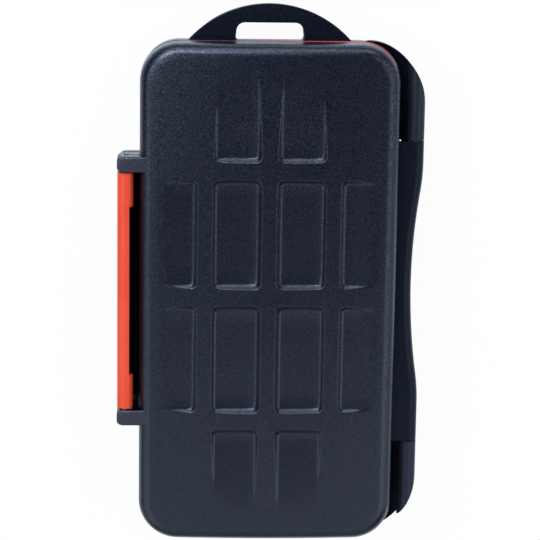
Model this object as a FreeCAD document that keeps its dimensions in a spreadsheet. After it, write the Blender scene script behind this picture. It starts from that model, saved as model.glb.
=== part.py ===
"""Pocket case for memory cards: two moulded shells on a pinned hinge, a silicone
seal between their rims, a swinging latch on the long edge, a carry loop on the
short edge and a soft card tray in each shell.

Millimetres. The case lies on its back, lid up. The origin is the middle of the
shell's outline on the back face: +X towards the hinge, -X towards the latch,
+Y towards the carry loop, +Z out of the lid.
"""
import FreeCAD, Part
import math
import os
import re
import Sketcher
from FreeCAD import Vector

SIZES = {
    # Shells
    "shell_width": 66.0,
    "shell_length": 130.0,
    "shell_corner": 10.0,
    "wall": 2.2,
    "base_height": 12.0,
    "base_floor": 2.0,
    "base_draft": 4.0,
    "back_round": 3.0,
    "case_height": 22.0,
    "lid_top": 2.6,
    "edge_round": 3.0,
    "crown_across": 319.0,
    # Recessed panels of the lid and of the back
    "panel_rib": 4.1,
    "column_rib": 3.65,
    "panel_width": 12.95,
    "panel_length": 28.7,
    "panel_depth": 1.5,
    "fading_depth": 1.2,
    "end_fade": 20.0,
    "panel_draft": 38.0,
    "panel_corner": 0.6,
    "back_panel_depth": 0.8,
    # Seal between the rims
    "seal_thickness": 0.6,
    "seal_proud": 0.15,
    "seal_clearance": 0.05,
    "groove_width": 1.0,
    "groove_depth": 1.4,
    "tongue_clearance": 0.05,
    # Hinge
    "hinge_offset": 4.5,
    "barrel_radius": 2.3,
    "leaf_length": 79.5,
    "leaf_lift": 0.25,
    "web_drop": 0.1,
    "knuckle_gap": 0.4,
    "flange_drop": 1.8,
    "flange_thickness": 2.2,
    "flange_lip": 1.0,
    "flange_corner": 18.0,
    "waist_depth": 2.4,
    "waist_length": 64.0,
    "waist_blend": 8.0,
    "waist_step": 0.05,
    "hinge_pin_radius": 0.8,
    "hinge_pin_length": 22.0,
    "hinge_pin_hold": 9.0,
    "pin_running": 0.04,
    "pin_end_gap": 0.4,
    # Latch, the ears that carry it and the catch that it holds
    "latch_shift": 1.0,
    "latch_offset": 3.6,
    "latch_rise": 4.7,
    "latch_radius": 2.05,
    "latch_length": 61.7,
    "latch_gap": 0.3,
    "relief_length": 44.3,
    "relief_depth": 1.0,
    "plate_thickness": 1.9,
    "ear_thickness": 4.1,
    "ear_reach": 5.75,
    "ear_height": 7.5,
    "ear_round": 1.2,
    "ear_edge": 0.5,
    "guard_reach": 5.2,
    "guard_height": 2.8,
    "latch_pin_radius": 0.75,
    "latch_pin_inset": 0.4,
    "catch_level": 6.5,
    "catch_depth": 2.0,
    "catch_reach": 2.9,
    "catch_length": 61.0,
    "hook_gap": 0.3,
    "hook_depth": 1.4,
    "hook_tip_gap": 0.8,
    "lip_drop": 1.2,
    # Carry loop
    "loop_radius": 28.0,
    "loop_reach": 9.15,
    "loop_level": 4.5,
    "loop_thickness": 4.5,
    "loop_edge": 0.8,
    "slot_height": 4.26,
    "slot_width_top": 16.6,
    "slot_width_root": 17.8,
    "slot_corner": 1.8,
    # Card trays
    "card_width": 24.0,
    "card_length": 32.0,
    "card_clearance": 0.3,
    "card_columns": 2,
    "card_rows": 3,
    "pocket_corner": 1.5,
    "tray_clearance": 0.25,
    "base_tray_height": 8.5,
    "base_pocket_depth": 5.5,
    "lid_tray_recess": 0.6,
    "lid_pocket_depth": 2.9,
    "scallop_radius": 6.0,
    "scallop_depth": 2.4,
}

# Places and sizes that follow from the driving dimensions
LID_RIM = "(base_height + seal_thickness + seal_clearance)"
HALF_WIDTH = "(shell_width / 2)"
HALF_LENGTH = "(shell_length / 2)"
INNER_WIDTH = "(shell_width - 2 * wall)"
INNER_LENGTH = "(shell_length - 2 * wall)"
INNER_CORNER = "(shell_corner - wall)"
HINGE_X = "(shell_width / 2 + hinge_offset)"
HINGE_Z = "(base_height + seal_thickness / 2)"
HINGE_EDGE = "(shell_width / 2 + hinge_offset + barrel_radius)"
KNUCKLE_START = "(leaf_length / 2 + knuckle_gap)"
FLANGE_END = "(shell_length / 2 + flange_lip)"
LATCH_X = "(-shell_width / 2 - latch_offset)"
LATCH_Z = "(base_height + seal_thickness + seal_clearance + latch_rise)"
LATCH_FACE = "(-shell_width / 2 - latch_offset - latch_radius)"
EAR_SPAN = "(latch_length + 2 * latch_gap)"
EAR_TOP = "(base_height + seal_thickness + seal_clearance + ear_height)"
TRAY_WIDTH = "(shell_width - 2 * wall - 2 * tray_clearance)"
TRAY_LENGTH = "(shell_length - 2 * wall - 2 * tray_clearance)"
TRAY_CORNER = "(shell_corner - wall - tray_clearance)"
POCKET_WIDTH = "(card_width + 2 * card_clearance)"
POCKET_LENGTH = "(card_length + 2 * card_clearance)"

TOLERANCE = 0.001

doc = FreeCAD.newDocument("memory_card_case")
sheet = doc.addObject("Spreadsheet::Sheet", "Sizes")
for row, (alias, number) in enumerate(SIZES.items(), start=1):
    sheet.set(f"A{row}", alias)
    sheet.set(f"B{row}", str(number))
    sheet.setAlias(f"B{row}", alias)
doc.recompute()


def sized(expression):
    """The expression with every size's name pointing at its cell."""
    names = r"\b(" + "|".join(SIZES) + r")\b"
    return re.sub(names, r"Sizes.\1", str(expression))


def value(expression):
    """The number that an expression has now."""
    result = sheet.evalExpression(sized(expression))
    return float(getattr(result, "Value", result))


def new_body(name):
    body = doc.addObject("PartDesign::Body", name)
    body.Label = name
    return body


def origin_plane(body, role):
    return next(item for item in body.Origin.OriginFeatures if item.Role == role)


def new_sketch(body, name, plane="XY_Plane", height="0", right="0", up="0", tilt="0"):
    """A sketch on one of the body's origin planes, moved along the plane's normal
    and its two axes, and tilted about the first of them."""
    sketch = body.newObject("Sketcher::SketchObject", name)
    sketch.AttachmentSupport = [(origin_plane(body, plane), "")]
    sketch.MapMode = "FlatFace"
    sketch.AttachmentOffset = FreeCAD.Placement(Vector(), FreeCAD.Rotation(Vector(1, 0, 0), 1))
    sketch.setExpression("AttachmentOffset.Rotation.Angle", sized(tilt))
    for axis, distance in (("x", right), ("y", up), ("z", height)):
        sketch.setExpression(f"AttachmentOffset.Base.{axis}", sized(distance))
    return sketch


def bind(sketch, constraint, expression):
    index = sketch.addConstraint(constraint)
    sketch.setExpression(f"Constraints[{index}]", sized(expression))


def pin_point(sketch, geometry, position, x, y):
    """Tie one point of the sketch to the sketch's origin."""
    bind(sketch, Sketcher.Constraint("DistanceX", -1, 1, geometry, position, value(x)), x)
    bind(sketch, Sketcher.Constraint("DistanceY", -1, 1, geometry, position, value(y)), y)


def add_circle(sketch, x, y, radius):
    centre = Vector(value(x), value(y), 0)
    index = sketch.addGeometry(Part.Circle(centre, Vector(0, 0, 1), value(radius)))
    pin_point(sketch, index, 3, x, y)
    bind(sketch, Sketcher.Constraint("Radius", index, value(radius)), radius)


def add_rounded_rectangle(sketch, x, y, width, length, corner):
    """A rectangle about (x, y) with its four sides tangent to four equal arcs."""
    middle = Vector(value(x), value(y), 0)
    half = Vector(value(width) / 2, value(length) / 2, 0)
    radius = value(corner)
    straight = half - Vector(radius, radius, 0)
    first = sketch.GeometryCount
    for quarter in range(4):
        turn = math.pi / 2 * quarter
        side = (1 if quarter in (0, 1) else -1, 1 if quarter in (1, 2) else -1)
        centre = middle + Vector(side[0] * straight.x, side[1] * straight.y, 0)
        circle = Part.Circle(centre, Vector(0, 0, 1), radius)
        arc = Part.ArcOfCircle(circle, turn - math.pi / 2, turn)
        along = (0, 1) if quarter % 2 == 0 else (-1, 0)
        away = Vector(along[0], along[1], 0) * (1 if quarter < 2 else -1)
        reach = 2 * (straight.y if quarter % 2 == 0 else straight.x)
        sketch.addGeometry(arc)
        sketch.addGeometry(Part.LineSegment(arc.EndPoint, arc.EndPoint + away * reach))
    for step in range(8):
        following = first + (step + 1) % 8
        sketch.addConstraint(Sketcher.Constraint("Tangent", first + step, 2, following, 1))
    for step, direction in ((1, "Vertical"), (3, "Horizontal"), (5, "Vertical"), (7, "Horizontal")):
        sketch.addConstraint(Sketcher.Constraint(direction, first + step))
    for step in (2, 4, 6):
        sketch.addConstraint(Sketcher.Constraint("Equal", first, first + step))
    bind(sketch, Sketcher.Constraint("Radius", first, radius), corner)
    offset_x = f"({width}) / 2 - ({corner})"
    offset_y = f"({length}) / 2 - ({corner})"
    pin_point(sketch, first, 3, f"({x}) + {offset_x}", f"({y}) - ({offset_y})")
    pin_point(sketch, first + 4, 3, f"({x}) - ({offset_x})", f"({y}) + {offset_y}")


def arc_between(start, end, radius, turn):
    """The shorter arc from start to end, bending left or right along the way."""
    chord = end - start
    sagitta = math.sqrt(max(radius ** 2 - (chord.Length / 2) ** 2, 0.0))
    left = Vector(-chord.y, chord.x, 0).normalize()
    centre = (start + end) * 0.5 + left * (sagitta if turn == "left" else -sagitta)
    first, last = (start, end) if turn == "left" else (end, start)
    angles = [math.atan2(point.y - centre.y, point.x - centre.x) for point in (first, last)]
    circle = Part.Circle(centre, Vector(0, 0, 1), radius)
    return Part.ArcOfCircle(circle, angles[0], angles[1])


def add_outline(sketch, corners):
    """A closed outline. A corner is (x, y), or (x, y, radius, turn) where an arc
    that bends left or right leads from it to the next corner."""
    count = len(corners)
    points = [Vector(value(corner[0]), value(corner[1]), 0) for corner in corners]
    starts, ends = [], []
    for step, corner in enumerate(corners):
        start, end = points[step], points[(step + 1) % count]
        if len(corner) == 2:
            index = sketch.addGeometry(Part.LineSegment(start, end))
            forward = True
        else:
            index = sketch.addGeometry(arc_between(start, end, value(corner[2]), corner[3]))
            forward = corner[3] == "left"
            bind(sketch, Sketcher.Constraint("Radius", index, value(corner[2])), corner[2])
        starts.append((index, 1 if forward else 2))
        ends.append((index, 2 if forward else 1))
    for step, corner in enumerate(corners):
        sketch.addConstraint(Sketcher.Constraint("Coincident", *ends[step - 1], *starts[step]))
        pin_point(sketch, *starts[step], corner[0], corner[1])


def extrude(kind, body, sketch, length, symmetric=False, reverse=False, taper="0"):
    feature = body.newObject(f"PartDesign::{kind}", f"{sketch.Name}_{kind.lower()}")
    feature.Profile = sketch
    feature.SideType = "Symmetric" if symmetric else "One side"
    feature.Reversed = reverse
    feature.setExpression("Length", sized(length))
    feature.setExpression("TaperAngle", sized(taper))
    sketch.Visibility = False
    return feature


def pad(body, sketch, length, **options):
    feature = extrude("Pad", body, sketch, length, **options)
    doc.recompute()
    return feature


def pocket(body, sketch, length, **options):
    """Cut a sketch out of the body, and make sure that the cut met material."""
    before = body.Shape.Volume
    feature = extrude("Pocket", body, sketch, length, **options)
    doc.recompute()
    if body.Shape.Volume > before - TOLERANCE:
        raise RuntimeError(f"{feature.Name} cuts nothing")
    return feature


def edges_where(shape, wanted):
    return [f"Edge{index}" for index, edge in enumerate(shape.Edges, start=1) if wanted(edge)]


def dress(kind, body, name, size, wanted):
    """Fillet or chamfer the edges of the body that a test picks out."""
    base = body.Tip
    feature = body.newObject(f"PartDesign::{kind}", name)
    feature.Base = (base, edges_where(base.Shape, wanted))
    feature.setExpression("Radius" if kind == "Fillet" else "Size", sized(size))
    doc.recompute()
    return feature


def groove(body, sketch, angle, symmetric=False):
    """Cut with a sketch that turns about its own upright axis, clockwise or equally both ways."""
    feature = body.newObject("PartDesign::Groove", f"{sketch.Name}_groove")
    feature.Profile = sketch
    feature.ReferenceAxis = (sketch, ["V_Axis"])
    feature.Midplane = symmetric
    feature.Reversed = not symmetric
    feature.setExpression("Angle", sized(angle))
    sketch.Visibility = False
    doc.recompute()
    return feature


def mirror(body, name, originals, plane="XZ_Plane"):
    feature = body.newObject("PartDesign::Mirrored", name)
    feature.Originals = originals
    feature.MirrorPlane = (origin_plane(body, plane), [""])
    body.Tip = feature
    doc.recompute()
    return feature


def crown(body, name, inset):
    """Trim the body's top to the lid's curve across its width, inset below the outer skin."""
    across = f"(crown_across - {inset})"
    level = f"case_height - {inset} - {across} + sqrt({across} ^ 2 - shell_width ^ 2)"
    sketch = along_y(body, name)
    add_outline(sketch, [
        ("-shell_width", "2 * case_height"),
        ("-shell_width", level, across, "right"),
        ("shell_width", level),
        ("shell_width", "2 * case_height"),
    ])
    pocket(body, sketch, "2 * shell_length", symmetric=True)


def shell_block(body, name, level, height, **options):
    """A block on the shell's outline, up from its level or down from it."""
    sketch = new_sketch(body, name, height=level)
    add_rounded_rectangle(sketch, "0", "0", "shell_width", "shell_length", "shell_corner")
    return pad(body, sketch, height, **options)


def along_y(body, name, middle="0", axis_x="0"):
    """A sketch of a cross-section, X to the right and Z up, at a place along Y."""
    return new_sketch(body, name, "XZ_Plane", height=f"-({middle})", right=axis_x)


def panel_run(depth):
    """How far a panel's sloped wall reaches sideways over its depth."""
    return f"({depth}) * tan(panel_draft * 1deg)"


def panel_floor(sketch, x, y, width, length, depth):
    shrink = f"2 * {panel_run(depth)}"
    add_rounded_rectangle(sketch, x, y, f"({width}) - {shrink}", f"({length}) - {shrink}", "panel_corner")


def quarters():
    """The four sign pairs of a pattern that is symmetric both ways."""
    return [(x, y) for x in ("-1", "1") for y in ("-1", "1")]


COLUMN_X = "(column_rib / 2 + panel_width / 2)"
ROW_Y = "(panel_rib / 2 + panel_length / 2)"
SIDE_START = "(column_rib * 1.5 + panel_width)"
SIDE_WIDTH = "(shell_width / 2 - edge_round - column_rib * 1.5 - panel_width)"
END_START = "(panel_rib * 1.5 + panel_length)"
END_LENGTH = "(shell_length / 2 - edge_round - panel_rib * 1.5 - panel_length)"


def cut_lid_panels(body):
    """Four full panels in the middle, side panels that fade out where the lid's curve
    falls to their flat floors, and end panels whose floors rise until they run out."""
    side_x = f"{SIDE_START} + {SIDE_WIDTH} / 2"
    flat_panels = {
        "centre_panels": ("panel_depth", COLUMN_X, "panel_width"),
        "side_panels": ("fading_depth", side_x, SIDE_WIDTH),
    }
    for name, (depth, x, width) in flat_panels.items():
        sketch = new_sketch(body, name, height=f"case_height - {depth}")
        for sign_x, sign_y in quarters():
            panel_floor(sketch, f"{sign_x} * ({x})", f"{sign_y} * {ROW_Y}", width, "panel_length", depth)
        pocket(body, sketch, f"2 * {depth}", reverse=True, taper="panel_draft")

    rising = new_sketch(body, "end_panels", height="case_height - panel_depth", up=END_START,
                        tilt="atan(panel_depth / end_fade)")
    for sign in ("-1", "1"):
        panel_floor(rising, f"{sign} * {COLUMN_X}", f"{END_LENGTH} / 2",
                    "panel_width", END_LENGTH, "panel_depth")
    cut = pocket(body, rising, "2 * panel_depth", reverse=True, taper="panel_draft")
    mirror(body, "lower_end_panels", [cut])


def add_ears(body, name, bottom, height, reach):
    """Two blocks on the latch side, one beyond each end of the latch."""
    sketch = new_sketch(body, name, height=bottom)
    width = f"({reach} + wall)"
    x = f"-{HALF_WIDTH} + wall - {width} / 2"
    for sign in ("-1", "1"):
        y = f"latch_shift + {sign} * ({EAR_SPAN} + ear_thickness) / 2"
        add_rounded_rectangle(sketch, x, y, width, "ear_thickness", "ear_round")
    return pad(body, sketch, height)


WAIST_TURN = "(2 * atan(2 * waist_depth / waist_length))"
SHOULDER_RADIUS = f"(waist_blend / sin({WAIST_TURN}))"
HOLLOW_RADIUS = f"((waist_length / 2 - waist_blend) / sin({WAIST_TURN}))"


def waist_section(body, name, middle, axis_x, barrel_x):
    """What lies outside the barrel's round side, in a cross-section at a place along Y."""
    sketch = along_y(body, name, middle, axis_x)
    radius = "(barrel_radius - waist_step)"
    far = f"{barrel_x} + 3 * barrel_radius"
    low, high = (f"{HINGE_Z} {sign} 2 * barrel_radius" for sign in "-+")
    add_outline(sketch, [
        (barrel_x, f"{HINGE_Z} + {radius}", radius, "right"),
        (f"{barrel_x} + {radius}", HINGE_Z, radius, "right"),
        (barrel_x, f"{HINGE_Z} - {radius}"),
        (barrel_x, low), (far, low), (far, high), (barrel_x, high),
    ])
    return sketch


def add_leaf(body):
    """The lid's long hinge leaf: a web out to a barrel whose round side bends in at the waist."""
    web = along_y(body, "leaf_web")
    root = f"({HALF_WIDTH} - wall / 2)"
    bottom = f"({LID_RIM} + leaf_lift)"
    top = f"({HINGE_Z} + barrel_radius - web_drop)"
    add_outline(web, [(root, bottom), (HINGE_X, bottom), (HINGE_X, top), (root, top)])
    pad(body, web, "leaf_length", symmetric=True)
    barrel = along_y(body, "leaf_barrel")
    add_circle(barrel, HINGE_X, HINGE_Z, "barrel_radius")
    pad(body, barrel, "leaf_length", symmetric=True)

    hollow = waist_section(body, "waist_hollow", "0", f"{HINGE_X} - waist_depth + {HOLLOW_RADIUS}",
                           f"-{HOLLOW_RADIUS}")
    groove(body, hollow, f"2 * {WAIST_TURN}", symmetric=True)
    shoulder = waist_section(body, "waist_shoulder", "waist_length / 2", f"{HINGE_X} - {SHOULDER_RADIUS}",
                             SHOULDER_RADIUS)
    shoulder_cut = groove(body, shoulder, WAIST_TURN)
    hold = "(hinge_pin_hold + pin_end_gap)"
    bore = along_y(body, "leaf_bore", f"leaf_length / 2 - {hold} / 2")
    add_circle(bore, HINGE_X, HINGE_Z, "hinge_pin_radius + pin_running")
    bore_cut = pocket(body, bore, hold, symmetric=True)
    mirror(body, "lower_leaf_end", [shoulder_cut, bore_cut])


def build_ears():
    """The lid's two latch ears with softened front edges and the latch pin's bore."""
    body = new_body("lid_ears")
    add_ears(body, "latch_ears", LID_RIM, "ear_height", "ear_reach")
    front = value(EAR_TOP)
    dress("Chamfer", body, "ear_edges", "ear_edge", lambda edge: edge.BoundBox.ZMin > front - TOLERANCE)
    bore = along_y(body, "latch_pin_bore", "latch_shift")
    add_circle(bore, LATCH_X, LATCH_Z, "latch_pin_radius")
    pocket(body, bore, f"{EAR_SPAN} + 4 * ear_thickness", symmetric=True)
    return body


def build_lid():
    """The lid's outside and its ears, hollowed by a core of the lid's inside."""
    outside = new_body("lid_outside")
    shell_block(outside, "lid_outline", LID_RIM, f"case_height - {LID_RIM}")
    crown(outside, "lid_crown", "0")
    middle = value(f"({LID_RIM} + case_height) / 2")
    dress("Fillet", outside, "lid_edge", "edge_round", lambda edge: edge.BoundBox.ZMin > middle)
    cut_lid_panels(outside)
    add_leaf(outside)

    core = new_body("lid_core")
    sketch = new_sketch(core, "core_outline", height=f"{LID_RIM} - wall")
    add_rounded_rectangle(sketch, "0", "0", INNER_WIDTH, INNER_LENGTH, INNER_CORNER)
    pad(core, sketch, f"case_height - {LID_RIM} + wall")
    crown(core, "core_crown", "lid_top")

    solid = doc.addObject("Part::MultiFuse", "lid_solid")
    solid.Shapes = [outside, build_ears()]
    lid = doc.addObject("Part::Cut", "lid_shell")
    lid.Base = solid
    lid.Tool = core
    doc.recompute()
    return lid


def add_knuckles(body):
    """A low flange at each hinge corner that carries a barrel, trimmed to one round corner."""
    inner_x = f"({HINGE_EDGE} - flange_corner)"
    inner_y = f"({FLANGE_END} - flange_corner)"
    level = f"({HINGE_Z} - barrel_radius - flange_drop)"
    flange = new_sketch(body, "hinge_flange", height=level)
    add_outline(flange, [
        (inner_x, KNUCKLE_START), (HINGE_X, KNUCKLE_START), (HINGE_X, FLANGE_END), (inner_x, FLANGE_END),
    ])
    flange_pad = pad(body, flange, "flange_thickness")
    length = f"({FLANGE_END} - {KNUCKLE_START})"
    barrel = along_y(body, "knuckle_barrel", f"({FLANGE_END} + {KNUCKLE_START}) / 2")
    add_circle(barrel, HINGE_X, HINGE_Z, "barrel_radius")
    barrel_pad = pad(body, barrel, length, symmetric=True)
    bore = along_y(body, "knuckle_bore", f"({FLANGE_END} + {KNUCKLE_START}) / 2")
    add_circle(bore, HINGE_X, HINGE_Z, "hinge_pin_radius")
    bore_cut = pocket(body, bore, length, symmetric=True)
    trim = new_sketch(body, "hinge_corner", height=HINGE_Z)
    add_outline(trim, [
        (HINGE_EDGE, inner_y, "flange_corner", "left"),
        (inner_x, FLANGE_END),
        (inner_x, f"{FLANGE_END} + barrel_radius"),
        (f"{HINGE_EDGE} + barrel_radius", f"{FLANGE_END} + barrel_radius"),
        (f"{HINGE_EDGE} + barrel_radius", inner_y),
    ])
    trim_cut = pocket(body, trim, "4 * barrel_radius", symmetric=True)
    mirror(body, "lower_knuckle", [flange_pad, barrel_pad, bore_cut, trim_cut])


def add_carry_loop(body):
    """An arched tab beyond the end wall, with a slot for a wrist cord."""
    root = f"({HALF_LENGTH} - wall / 2)"
    drop = f"({HALF_LENGTH} + loop_reach - loop_radius)"
    half_root = f"sqrt(loop_radius ^ 2 - ({root} - {drop}) ^ 2)"
    tab = new_sketch(body, "carry_loop", height="loop_level")
    add_outline(tab, [(half_root, root, "loop_radius", "left"), (f"-{half_root}", root)])
    pad(body, tab, "loop_thickness")
    radius = value("loop_radius")
    dress("Chamfer", body, "loop_edges", "loop_edge", lambda edge: (
        isinstance(edge.Curve, Part.Circle) and abs(edge.Curve.Radius - radius) < TOLERANCE))
    slot = new_sketch(body, "loop_slot", height="loop_level + loop_thickness / 2")
    top = f"{HALF_LENGTH} + slot_height"
    add_outline(slot, [
        ("-slot_width_root / 2", HALF_LENGTH), ("slot_width_root / 2", HALF_LENGTH),
        ("slot_width_top / 2", top), ("-slot_width_top / 2", top),
    ])
    pocket(body, slot, "2 * loop_thickness", symmetric=True)
    slot_y = value(top)
    dress("Fillet", body, "slot_corners", "slot_corner", lambda edge: (
        edge.BoundBox.ZLength > edge.BoundBox.XLength + edge.BoundBox.YLength
        and abs(edge.BoundBox.YMin - slot_y) < TOLERANCE))


def build_base():
    body = new_body("base_shell")
    shell_block(body, "base_outline", "base_height", "base_height", reverse=True, taper="-base_draft")
    dress("Fillet", body, "back_edge", "back_round", lambda edge: edge.BoundBox.ZMax < TOLERANCE)
    back = new_sketch(body, "back_panels", height="back_panel_depth")
    for sign_x, sign_y in quarters():
        panel_floor(back, f"{sign_x} * {COLUMN_X}", f"{sign_y} * {ROW_Y}",
                    "panel_width", "panel_length", "back_panel_depth")
    pocket(body, back, "back_panel_depth", taper="panel_draft")
    add_knuckles(body)
    add_carry_loop(body)
    add_ears(body, "latch_guards", "base_height - guard_height", "guard_height", "guard_reach")
    catch = along_y(body, "catch_bead", "latch_shift")
    wall_x = f"(-{HALF_WIDTH} + wall / 2)"
    nose = f"(-{HALF_WIDTH} - catch_reach)"
    add_outline(catch, [
        (wall_x, "catch_level"), (nose, "catch_level"),
        (nose, "catch_level + catch_depth / 2"), (wall_x, "catch_level + 2 * catch_depth"),
    ])
    pad(body, catch, "catch_length", symmetric=True)
    inside = new_sketch(body, "base_inside", height="base_height")
    add_rounded_rectangle(inside, "0", "0", INNER_WIDTH, INNER_LENGTH, INNER_CORNER)
    pocket(body, inside, "base_height - base_floor")
    groove = new_sketch(body, "seal_groove", height="base_height")
    add_rim_ring(groove, "groove_width")
    pocket(body, groove, "groove_depth")
    return body


def add_rim_ring(sketch, width):
    """A ring of the given width that runs along the middle of the rim."""
    for side in ("-1", "1"):
        inset = f"(wall / 2 + {side} * ({width}) / 2)"
        add_rounded_rectangle(sketch, "0", "0", f"shell_width - 2 * {inset}",
                              f"shell_length - 2 * {inset}", f"shell_corner - {inset}")


def build_seal():
    """A flat silicone flange on the base's rim with a tongue in the rim's groove."""
    body = new_body("seal_ring")
    flange = new_sketch(body, "seal_flange", height="base_height")
    add_rounded_rectangle(flange, "0", "0", "shell_width + 2 * seal_proud",
                          "shell_length + 2 * seal_proud", "shell_corner + seal_proud")
    add_rounded_rectangle(flange, "0", "0", INNER_WIDTH, INNER_LENGTH, INNER_CORNER)
    pad(body, flange, "seal_thickness")
    tongue = new_sketch(body, "seal_tongue", height="base_height")
    add_rim_ring(tongue, "groove_width - 2 * tongue_clearance")
    pad(body, tongue, "groove_depth - tongue_clearance", reverse=True)
    return body


def build_latch():
    """A barrel between the ears and a plate that hangs from it to a hook."""
    body = new_body("latch")
    barrel = along_y(body, "latch_barrel", "latch_shift")
    add_circle(barrel, LATCH_X, LATCH_Z, "latch_radius")
    pad(body, barrel, "latch_length", symmetric=True)
    plate_x = f"({LATCH_FACE} + plate_thickness)"
    tip_x = f"(-{HALF_WIDTH} - hook_tip_gap)"
    hook_top = "(catch_level - hook_gap)"
    hook_bottom = "(catch_level - hook_gap - hook_depth)"
    plate = along_y(body, "latch_plate", "latch_shift")
    add_outline(plate, [
        (LATCH_FACE, LATCH_Z),
        (LATCH_FACE, f"{hook_bottom} - lip_drop"),
        (plate_x, f"{hook_bottom} - lip_drop / 2"),
        (tip_x, hook_bottom),
        (tip_x, hook_top),
        (plate_x, hook_top),
        (plate_x, LATCH_Z),
    ])
    pad(body, plate, "latch_length", symmetric=True)
    relief = along_y(body, "latch_relief", "latch_shift")
    inner = f"({LATCH_X} + latch_radius - relief_depth)"
    outer = f"({inner} + latch_radius)"
    below, above = (f"({LATCH_Z} {sign} 2 * latch_radius)" for sign in "-+")
    add_outline(relief, [(inner, below), (outer, below), (outer, above), (inner, above)])
    pocket(body, relief, "relief_length", symmetric=True)
    bore = along_y(body, "latch_bore", "latch_shift")
    add_circle(bore, LATCH_X, LATCH_Z, "latch_pin_radius + pin_running")
    pocket(body, bore, "2 * latch_length", symmetric=True)
    return body


def build_pin(name, x, z, middle, radius, length):
    body = new_body(name)
    sketch = along_y(body, f"{name}_section", middle)
    add_circle(sketch, x, z, radius)
    pad(body, sketch, length, symmetric=True)
    return body


def build_pins():
    reach = "(leaf_length / 2 - hinge_pin_hold + hinge_pin_length / 2)"
    return [
        build_pin("latch_pin", LATCH_X, LATCH_Z, "latch_shift", "latch_pin_radius",
                  f"{EAR_SPAN} + 2 * (ear_thickness - latch_pin_inset)"),
        build_pin("hinge_pin_upper", HINGE_X, HINGE_Z, reach, "hinge_pin_radius", "hinge_pin_length"),
        build_pin("hinge_pin_lower", HINGE_X, HINGE_Z, f"-{reach}", "hinge_pin_radius", "hinge_pin_length"),
    ]


def cut_card_pockets(body, name, face, depth, upward):
    """A grid of card pockets, with a finger scallop between each row's pockets."""
    columns, rows = int(value("card_columns")), int(value("card_rows"))
    pitch_x = f"({POCKET_WIDTH} + ({TRAY_WIDTH} - card_columns * {POCKET_WIDTH}) / (card_columns + 1))"
    pitch_y = f"({POCKET_LENGTH} + ({TRAY_LENGTH} - card_rows * {POCKET_LENGTH}) / (card_rows + 1))"
    sketch = new_sketch(body, f"{name}_pockets", height=face)
    scallops = new_sketch(body, f"{name}_scallops", height=face)
    for row in range(rows):
        y = f"({row} - (card_rows - 1) / 2) * {pitch_y}"
        for column in range(columns):
            x = f"({column} - (card_columns - 1) / 2) * {pitch_x}"
            add_rounded_rectangle(sketch, x, y, POCKET_WIDTH, POCKET_LENGTH, "pocket_corner")
        for gap in range(columns - 1):
            add_circle(scallops, f"({gap} - (card_columns - 2) / 2) * {pitch_x}", y, "scallop_radius")
    pocket(body, sketch, depth, reverse=upward)
    pocket(body, scallops, "scallop_depth", reverse=upward)


def build_trays():
    base = new_body("base_card_tray")
    sketch = new_sketch(base, "base_tray_outline", height="base_floor")
    add_rounded_rectangle(sketch, "0", "0", TRAY_WIDTH, TRAY_LENGTH, TRAY_CORNER)
    pad(base, sketch, "base_tray_height")
    cut_card_pockets(base, "base", "base_floor + base_tray_height", "base_pocket_depth", False)

    lid = new_body("lid_card_tray")
    face = f"{LID_RIM} + lid_tray_recess"
    sketch = new_sketch(lid, "lid_tray_outline", height=face)
    add_rounded_rectangle(sketch, "0", "0", TRAY_WIDTH, TRAY_LENGTH, TRAY_CORNER)
    pad(lid, sketch, f"case_height - ({face})")
    crown(lid, "lid_tray_crown", "(lid_top + tray_clearance)")
    cut_card_pockets(lid, "lid", face, "lid_pocket_depth", True)
    return [base, lid]


def check(parts):
    failed = [item.Name for item in doc.Objects if {"Invalid", "Error"} & set(item.State)]
    if failed:
        raise RuntimeError("failed features: " + ", ".join(failed))
    for part in parts:
        if part.Shape.isNull() or not part.Shape.isValid():
            raise RuntimeError(f"{part.Label} has no valid shape")
        solids = len(part.Shape.Solids)
        print(f"{part.Label}: {solids} solid, {part.Shape.Volume:.1f} mm3, {part.Shape.BoundBox}")


parts = [build_base(), build_lid(), build_seal(), build_latch(), *build_pins(), *build_trays()]
doc.recompute()
check(parts)
os.makedirs("parts", exist_ok=True)
for part in parts:
    part.Shape.exportStep(f"parts/{part.Label}.step")
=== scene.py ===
# %% [markdown]
# # A pocket case for memory cards
# The case is two black plastic mouldings on a pinned hinge, with a red silicone seal between
# their rims, an orange latch on the long edge and soft card trays inside. The engineering
# model is loaded first as a fixed frame. Everything made below is placed in that frame, in
# metres, and moves with one of its bodies.

# %% Load the frame
import math

import bpy
import numpy as np
from mathutils import Matrix, Vector


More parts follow.
